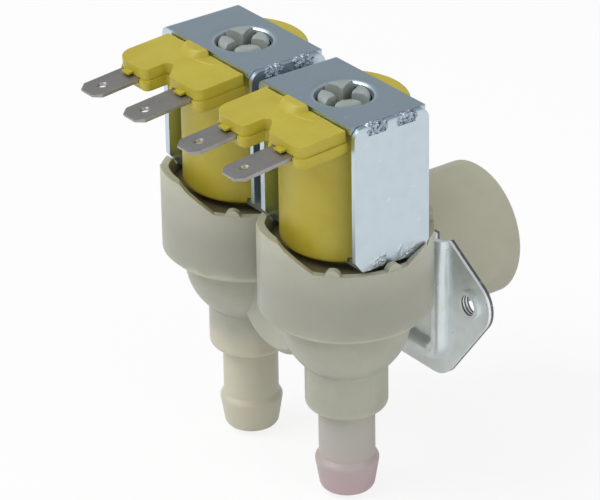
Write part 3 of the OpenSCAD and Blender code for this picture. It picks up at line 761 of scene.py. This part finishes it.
@dataclass
class Blades:
    """The four flat terminals, each with a thinned tip and a countersunk hole.

    They stand for the plain CAD blades. Sizes are in millimetres and angles in degrees. Back, top and
    tilt place the tilted terminal block; spacing, depth, root and droop place a blade in it.
    """

    width: float = 6.3
    thickness: float = 0.8
    tip_thickness: float = 0.42
    tip_length: float = 1.6
    corner: float = 1.3
    hole_from_tip: float = 3.7
    hole_radius: float = 0.68
    sink_radius: float = 0.98
    hole_steps: int = 28
    edge: float = 0.08
    edge_angle: float = 24.0
    spacing: float = 14.1
    back: float = 8.95
    top: float = 47.0
    tilt: float = 4.0
    droop: float = 1.5
    depth: float = 2.3
    root: float = 11.6
    reach: float = 31.8

    def mesh(self) -> bmesh.types.BMesh:
        """Builds one blade with its root at the origin, pointing along -Y, in millimetres.

        Returns:
            A closed mesh, with the hole's wall in the second material.
        """
        build = bmesh.new()
        half, end = self.width / 2, self.root - self.reach
        line = end + self.tip_length
        face = self.thickness / 2
        rims = []
        sink = self.sink_radius
        for z, radius in ((-face, sink), (0.0, self.hole_radius), (face, sink)):
            rim = []
            for step in range(self.hole_steps):
                turn = 2 * math.pi * step / self.hole_steps
                x, y = radius * math.cos(turn), end + self.hole_from_tip + radius * math.sin(turn)
                rim.append(build.verts.new((x, y, z)))
            rims.append(rim)
        faces = []
        corners = ((-half, 0), (half, 0), (half, line), (-half, line))
        for z, rim in ((-face, rims[0]), (face, rims[2])):
            sheet = [build.verts.new((x, y, z)) for x, y in corners]
            pairs = [(loop[i - 1], loop[i]) for loop in (sheet, rim) for i in range(len(loop))]
            edges = [build.edges.new(pair) for pair in pairs]
            bmesh.ops.triangle_fill(build, edges=edges, use_beauty=True)
            low = z * self.tip_thickness / self.thickness
            inset = half - self.corner
            tip = [build.verts.new((x, end, low)) for x in (inset, -inset)]
            build.faces.new((sheet[3], sheet[2], tip[0], tip[1]))
            faces.append(sheet[:3] + tip + sheet[3:])
        for i in range(len(faces[0])):
            build.faces.new((faces[0][i - 1], faces[0][i], faces[1][i], faces[1][i - 1]))
        for first, second in zip(rims, rims[1:]):
            for i in range(self.hole_steps):
                wall = build.faces.new((first[i - 1], first[i], second[i], second[i - 1]))
                wall.material_index = 1
        return build

    def place(self, valve: Valve, s: int) -> Matrix:
        """Gives a blade's place.

        Args:
            valve: The valve that the blade belongs to.
            s: -1 for the blade on the valve's left and 1 for the other.

        Returns:
            The matrix from the blade's own space in millimetres to the part's space in metres.
        """
        return (
            valve.place(0.0, -self.back, self.top)
            @ Matrix.Rotation(math.radians(self.tilt), 4, "X")
            @ Matrix.Translation((s * self.spacing / 2, self.back - self.root, -self.depth))
            @ Matrix.Rotation(math.radians(self.droop), 4, "X")
        )

    def build(self) -> None:
        """Builds the four blades."""
        for valve in VALVES:
            for s in (-1, 1):
                place = "outer" if s == valve.side else "inner"
                build = self.mesh()
                build.transform(self.place(valve, s))
                node = f"blade_{valve.name}_{place}"
                piece = piece_from(build, f"coined_{node}", Finish.TIN, (node,))
                piece.data.materials.append(Finish.PIERCED.material())
                soften(piece, self.edge * MM, 2, self.edge_angle)


@dataclass(frozen=True)
class Row:
    """The two patches of upset metal at one end of a yoke's plate, with sizes in millimetres."""

    end: str
    level: float
    flip: int
    down: float
    lift: float
    finish: Finish


@dataclass
class Stakes:
    """The upset metal where the tabs of each yoke are staked into its flat plate, in millimetres."""

    rows: tuple[Row, ...] = (
        Row("top", 47.7, 1, 2.0, 0.42, Finish.SHADED_STAKES),
        Row("bottom", 18.35, -1, 3.2, 0.126, Finish.ZINC),
    )
    face: float = 14.5
    tab: float = 3.4
    half_width: float = 2.4
    over: float = 1.4
    thickness: float = 0.3
    sunk: float = 0.03
    coarse: float = 1.0
    fine: float = 2.6
    fine_seed: float = 7.0
    seeds: Point = (3.1, 1.7, 0.9)
    crest: float = 1.1
    lumps: float = 1.3
    limits: Span = (-0.5, 1.0)
    jags: Span = (0.55, 1.2)
    corner: Point = (0.7, 0.0, 0.7)
    steps: tuple[int, int] = (30, 40)

    def height(self, along: float, across: float, length: float, seed: float) -> float:
        """Gives how high the metal stands at one spot.

        Args:
            along: Way from the patch's start over the plate's edge, in millimetres.
            across: Way from the patch's middle line, in millimetres.
            length: The patch's length along that way.
            seed: Offset into the noise.

        Returns:
            The height as a share of the patch's lift.
        """
        rough = noise.noise(Vector((self.coarse * along, self.coarse * across, seed)))
        fine = noise.noise(Vector((self.fine * along, self.fine * across, seed + self.fine_seed)))
        spread = (across / self.half_width) ** 2 + (2 * along / length - 1) ** 2
        low, high = self.limits
        even, jagged = self.jags
        lump = max(low, min(high, self.crest - spread + self.lumps * rough))
        return lump * (even + jagged * abs(fine))

    def mesh(self, seed: float, down: float, lift: float) -> bmesh.types.BMesh:
        """Builds one patch of upset metal over the plate's edge.

        Args:
            seed: Offset into the noise, so that no two patches look the same.
            down: How far the patch reaches over the plate's face.
            lift: Height of its lumps.

        Returns:
            A closed mesh, with the plate's edge at the origin, its face to +X and its end to +Z.
        """
        build = bmesh.new()
        rows, columns = self.steps
        width = columns + 1
        length = self.over + down
        outer, inner = [], []
        for i in range(rows + 1):
            along = length * i / rows
            if along < self.over:
                foot, normal = Vector((along - self.over, 0, 0)), Vector((0, 0, 1))
            else:
                foot, normal = Vector((0, 0, self.over - along)), Vector((1, 0, 0))
            if abs(along - self.over) < 0.5 * length / rows:
                foot, normal = Vector((0, 0, 0)), Vector(self.corner)
            for j in range(width):
                across = self.half_width * (2 * j / columns - 1)
                height = lift * self.height(along, across, length, seed)
                point = foot + Vector((0, across, 0))
                outer.append(build.verts.new(point + normal * (height - self.sunk)))
                inner.append(build.verts.new(point - normal * self.thickness))
        for layer in (outer, inner):
            for i in range(rows):
                for j in range(columns):
                    first = i * width + j
                    spots = (first, first + 1, first + width + 1, first + width)
                    build.faces.new([layer[k] for k in spots])
        border = list(range(width)) + [i * width + columns for i in range(1, rows + 1)]
        border += [rows * width + j for j in range(columns - 1, -1, -1)]
        border += [i * width for i in range(rows - 1, 0, -1)]
        for a, b in zip(border, border[1:] + border[:1]):
            build.faces.new((outer[a], outer[b], inner[b], inner[a]))
        bmesh.ops.triangulate(build, faces=build.faces)
        return build

    def build(self) -> None:
        """Builds the patches at both ends of both plates."""
        by_side, by_place, by_end = self.seeds
        for valve in VALVES:
            for row in self.rows:
                for s, place in ((-1, "front"), (1, "back")):
                    seed = by_side * valve.side + by_place * s + by_end * row.flip
                    build = self.mesh(seed, row.down, row.lift)
                    upright = Matrix.Diagonal((1, 1, row.flip, 1))
                    build.transform(valve.place(self.face, s * self.tab, row.level) @ upright)
                    piece_from(build, f"stake_{valve.name}_{row.end}_{place}", row.finish)


@dataclass
class RolledYokes:
    """The two yokes, with the hole's mouth rolled down into a flat top plate, in millimetres."""

    top: float = 47.7
    top_margin: float = 0.35
    foot: float = 8.0
    mouth: float = 6.95
    hole: float = 5.45
    roll: float = 1.0
    edge: float = 0.18

    def level(self, radius: float) -> float:
        """Gives the plate's height at a radius from the hole's axis, in millimetres."""
        share = min(1.0, max(0.0, (self.mouth - radius) / (self.mouth - self.hole)))
        return self.top - self.roll * (1 - math.sqrt(1 - share * share))

    def build(self) -> None:
        """Builds both yokes from the shapes of their CAD nodes."""
        for valve in VALVES:
            node = f"yoke_{valve.name}"
            build = bmesh.new()
            build.from_mesh(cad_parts[node].data)
            for vert in build.verts:
                off = vert.co - valve.axis * MM
                radius = math.hypot(off.x, off.y) / MM
                if radius < self.foot and vert.co.z > (self.top - self.top_margin) * MM:
                    vert.co.z = self.level(radius) * MM
            soften(piece_from(build, f"rolled_{node}", Finish.ZINC, (node,)), self.edge * MM)


@dataclass
class GuideTubes:
    """The two guide tubes, with four soft prongs that stand in the yoke's top hole.

    Sizes are in millimetres, and turn is the first gap's angle in degrees. The gap limit is the
    sine of half the widest angle that a gap may take up.
    """

    weld: float = 0.001
    cut: float = 45.25
    low: float = 44.95
    tops: tuple[float, ...] = (47.9, 48.3, 47.7, 47.4)
    inner: float = 1.5
    outer: float = 4.9
    gap: float = 1.9
    gap_limit: float = 0.68
    turn: float = 20.0
    crown: float = 1.1
    crown_steps: int = 5
    inner_slope: tuple[Span, ...] = ((0.7, 0.15), (0.2, 0.45), (0.0, 0.9))
    steps: int = 12
    stem_edge: float = 0.15
    prong_edge: float = 0.35
    prong_angle: float = 35.0

    def stem(self, name: str) -> None:
        """Builds a tube from its CAD node's shape, without the top end that the prongs take over."""
        node = f"guide_tube_{name}"
        build = bmesh.new()
        build.from_mesh(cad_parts[node].data)
        bmesh.ops.remove_doubles(build, verts=build.verts, dist=self.weld * MM)
        everything = list(build.verts) + list(build.edges) + list(build.faces)
        level, up = (0, 0, self.cut * MM), (0, 0, 1)
        made = bmesh.ops.bisect_plane(
            build, geom=everything, plane_co=level, plane_no=up, clear_outer=True,
        )["geom_cut"]
        bmesh.ops.edgenet_fill(build, edges=[e for e in made if isinstance(e, bmesh.types.BMEdge)])
        soften(piece_from(build, f"stem_{node}", Finish.GUIDE, (node,)), self.stem_edge * MM)

    def prong(self, quarter: int) -> bmesh.types.BMesh:
        """Builds one prong, in millimetres, about the valve's axis.

        Args:
            quarter: Which of the four prongs, from 0 to 3.

        Returns:
            A closed mesh with a rounded top.
        """
        build = bmesh.new()
        top = self.tops[quarter]
        profile = [(self.inner, self.low), (self.outer, self.low), (self.outer, top - self.crown)]
        for k in range(1, self.crown_steps + 1):
            bend = math.radians(90 * k / self.crown_steps)
            reach, rise = self.crown * math.cos(bend), self.crown * math.sin(bend)
            profile.append((self.outer - self.crown + reach, top - self.crown + rise))
        profile += [(self.inner + out, top - drop) for out, drop in self.inner_slope]
        rings = []
        for radius, z in profile:
            gap = math.asin(min(self.gap_limit, self.gap / 2 / radius))
            start = math.radians(self.turn + 90 * quarter) + gap
            sweep = math.pi / 2 - 2 * gap
            ring = []
            for i in range(self.steps + 1):
                a = start + sweep * i / self.steps
                ring.append(build.verts.new((radius * math.cos(a), radius * math.sin(a), z)))
            rings.append(ring)
        for first, second in zip(rings, rings[1:] + rings[:1]):
            for i in range(self.steps):
                build.faces.new((first[i], first[i + 1], second[i + 1], second[i]))
        for end in (0, self.steps):
            build.faces.new([ring[end] for ring in rings])
        return build

    def build(self) -> None:
        """Builds both stems and the eight prongs."""
        for valve in VALVES:
            self.stem(valve.name)
            for quarter in range(len(self.tops)):
                build = self.prong(quarter)
                build.transform(valve.place())
                piece = piece_from(build, f"prong_{valve.name}_{quarter + 1}", Finish.HEADS)
                soften(piece, self.prong_edge * MM, angle=self.prong_angle)


@dataclass
class BlockLugs:
    """The tapered half-round lug at the back of each terminal block, beside the yoke.

    Sizes are in millimetres; each level has its height, half its width and its depth.
    """

    middle: float = -2.1
    back: float = -8.97
    levels: tuple[Point, ...] = (
        (45.8, 4.0, 3.8), (46.7, 3.8, 3.5), (47.8, 3.3, 2.6), (48.2, 3.0, 2.2),
    )
    bluntness: float = 0.7
    edge: float = 0.35
    edge_angle: float = 35.0
    steps: int = 20

    def build(self) -> None:
        """Builds both lugs from half-ellipses at rising levels."""
        for valve in VALVES:
            build = bmesh.new()
            rings = []
            for z, half, depth in self.levels:
                ring = []
                for i in range(self.steps + 1):
                    turn = math.pi * (1 + i / self.steps)
                    x = self.middle + half * math.cos(turn)
                    y = self.back - depth * abs(math.sin(turn)) ** self.bluntness
                    ring.append(build.verts.new((x, y, z)))
                rings.append(ring)
            for first, second in zip(rings, rings[1:]):
                for i in range(self.steps + 1):
                    build.faces.new((first[i - 1], first[i], second[i], second[i - 1]))
            build.faces.new(rings[0])
            build.faces.new(rings[-1])
            build.transform(valve.place())
            piece = piece_from(build, f"block_lug_{valve.name}", Finish.COIL)
            soften(piece, self.edge * MM, angle=self.edge_angle)


@dataclass(frozen=True)
class Lamp:
    """A soft square lamp that faces the part, with lengths in metres and its power in watts."""

    name: str
    spot: Point
    size: float
    power: float

    def build(self) -> None:
        """Adds the lamp."""
        data = bpy.data.lights.new(self.name, "AREA")
        data.shape = "SQUARE"
        data.size = self.size
        data.energy = self.power
        lamp = bpy.data.objects.new(self.name, data)
        lamp.location = self.spot
        lamp.rotation_euler = (-Vector(self.spot)).to_track_quat("-Z", "Y").to_euler()
        bpy.context.scene.collection.objects.link(lamp)


@dataclass
class Studio:
    """Camera, lamps, world and floor.

    The eye and the floor's height are in millimetres, and angles in degrees.
    """

    eye: Point = (515.3, -400.28, 335.25)
    azimuth: float = 53.777
    elevation: float = 27.102
    roll: float = -0.885
    lens: float = 223.48
    sensor: float = 36.0
    clip: Span = (0.01, 20.0)
    floor_z: float = -37.0
    floor_half: float = 1.6
    floor_colour: Colour = (0.9, 0.9, 0.9)
    floor_roughness: float = 0.9
    floor_glow: float = 0.85
    even_light: float = 0.5
    sky_colour: Colour = (0.94, 0.98, 1.0)
    sky_levels: Span = (-0.1, 0.3)
    sky_strengths: Span = (0.95, 0.45)
    lamps: tuple[Lamp, ...] = (
        Lamp("key", (-0.25, -0.55, 0.75), 0.6, 5.6),
        Lamp("fill", (0.7, 0.1, 0.35), 0.5, 1.4),
    )

    def camera(self) -> None:
        """Places the camera at the photograph's viewing angle."""
        a, e, r = (math.radians(v) for v in (self.azimuth, self.elevation, self.roll))
        back = Vector((math.sin(a) * math.cos(e), -math.cos(a) * math.cos(e), math.sin(e)))
        right = Vector((math.cos(a), math.sin(a), 0.0))
        up = back.cross(right)
        turned_right = right * math.cos(r) + up * math.sin(r)
        turned_up = up * math.cos(r) - right * math.sin(r)
        data = bpy.data.cameras.new("camera")
        data.lens = self.lens
        data.sensor_width = self.sensor
        data.clip_start, data.clip_end = self.clip
        camera = bpy.data.objects.new("camera", data)
        turn = Matrix((turned_right, turned_up, back)).transposed().to_4x4()
        camera.matrix_world = Matrix.Translation(Vector(self.eye) * MM) @ turn
        bpy.context.scene.collection.objects.link(camera)
        bpy.context.scene.camera = camera

    def world(self) -> None:
        """Gives even light, a plain backdrop to the camera, and a darker upper sky to gloss."""
        world = bpy.data.worlds.new("studio")
        bpy.context.scene.world = world
        world.use_nodes = True
        tree = NodeTree(world.node_tree)
        path = tree.node("ShaderNodeLightPath").outputs
        towards = tree.node("ShaderNodeTexCoord").outputs["Generated"]
        height = tree.node("ShaderNodeSeparateXYZ", {0: towards}).outputs["Z"]
        fade = {"Value": height}
        fade["From Min"], fade["From Max"] = self.sky_levels
        fade["To Min"], fade["To Max"] = self.sky_strengths
        ramp = tree.node("ShaderNodeMapRange", fade, interpolation_type="SMOOTHSTEP")
        even = tree.node("ShaderNodeBackground", {"Color": WHITE, "Strength": self.even_light})
        upper = {"Color": (*self.sky_colour, 1.0), "Strength": ramp.outputs["Result"]}
        sky = tree.node("ShaderNodeBackground", upper)
        backdrop = tree.node("ShaderNodeBackground")
        glossy = {0: path["Is Glossy Ray"], 1: even.outputs[0], 2: sky.outputs[0]}
        gloss = tree.node("ShaderNodeMixShader", glossy).outputs[0]
        straight = {0: path["Is Camera Ray"], 1: gloss, 2: backdrop.outputs[0]}
        seen = tree.node("ShaderNodeMixShader", straight).outputs[0]
        tree.node("ShaderNodeOutputWorld", {"Surface": seen})

    def floor(self) -> None:
        """Lays a wide pale floor under the part, which glows a little to the camera."""
        mesh = bpy.data.meshes.new("floor")
        build = bmesh.new()
        bmesh.ops.create_grid(build, x_segments=1, y_segments=1, size=self.floor_half)
        build.to_mesh(mesh)
        build.free()
        floor = bpy.data.objects.new("floor", mesh)
        floor.location.z = self.floor_z * MM
        bpy.context.scene.collection.objects.link(floor)
        shader = Shader("pale_floor")
        shader.set(Base_Color=(*self.floor_colour, 1.0), Roughness=self.floor_roughness)
        path = shader.node("ShaderNodeLightPath")
        seen = Wire(shader, path.outputs["Is Camera Ray"]) * self.floor_glow
        glow = shader.node("ShaderNodeEmission", {"Color": WHITE, "Strength": 1.0})
        parts = {0: seen, 1: shader.surface.outputs["BSDF"], 2: glow.outputs["Emission"]}
        mixed = shader.node("ShaderNodeMixShader", parts)
        shader.feed(shader.output.inputs["Surface"], mixed.outputs[0])
        mesh.materials.append(shader.material)

    def build(self) -> None:
        """Sets up the whole studio."""
        bpy.context.scene.view_settings.view_transform = "Standard"
        self.camera()
        self.world()
        self.floor()
        for lamp in self.lamps:
            lamp.build()


def main() -> None:
    """Builds the looks."""
    logging.basicConfig(level=logging.INFO, format="%(message)s")
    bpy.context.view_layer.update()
    Studio().build()
    Interior().build()
    Exterior().build()
    Blades().build()
    Stakes().build()
    RolledYokes().build()
    GuideTubes().build()
    BlockLugs().build()


if __name__ == "__main__":
    main()
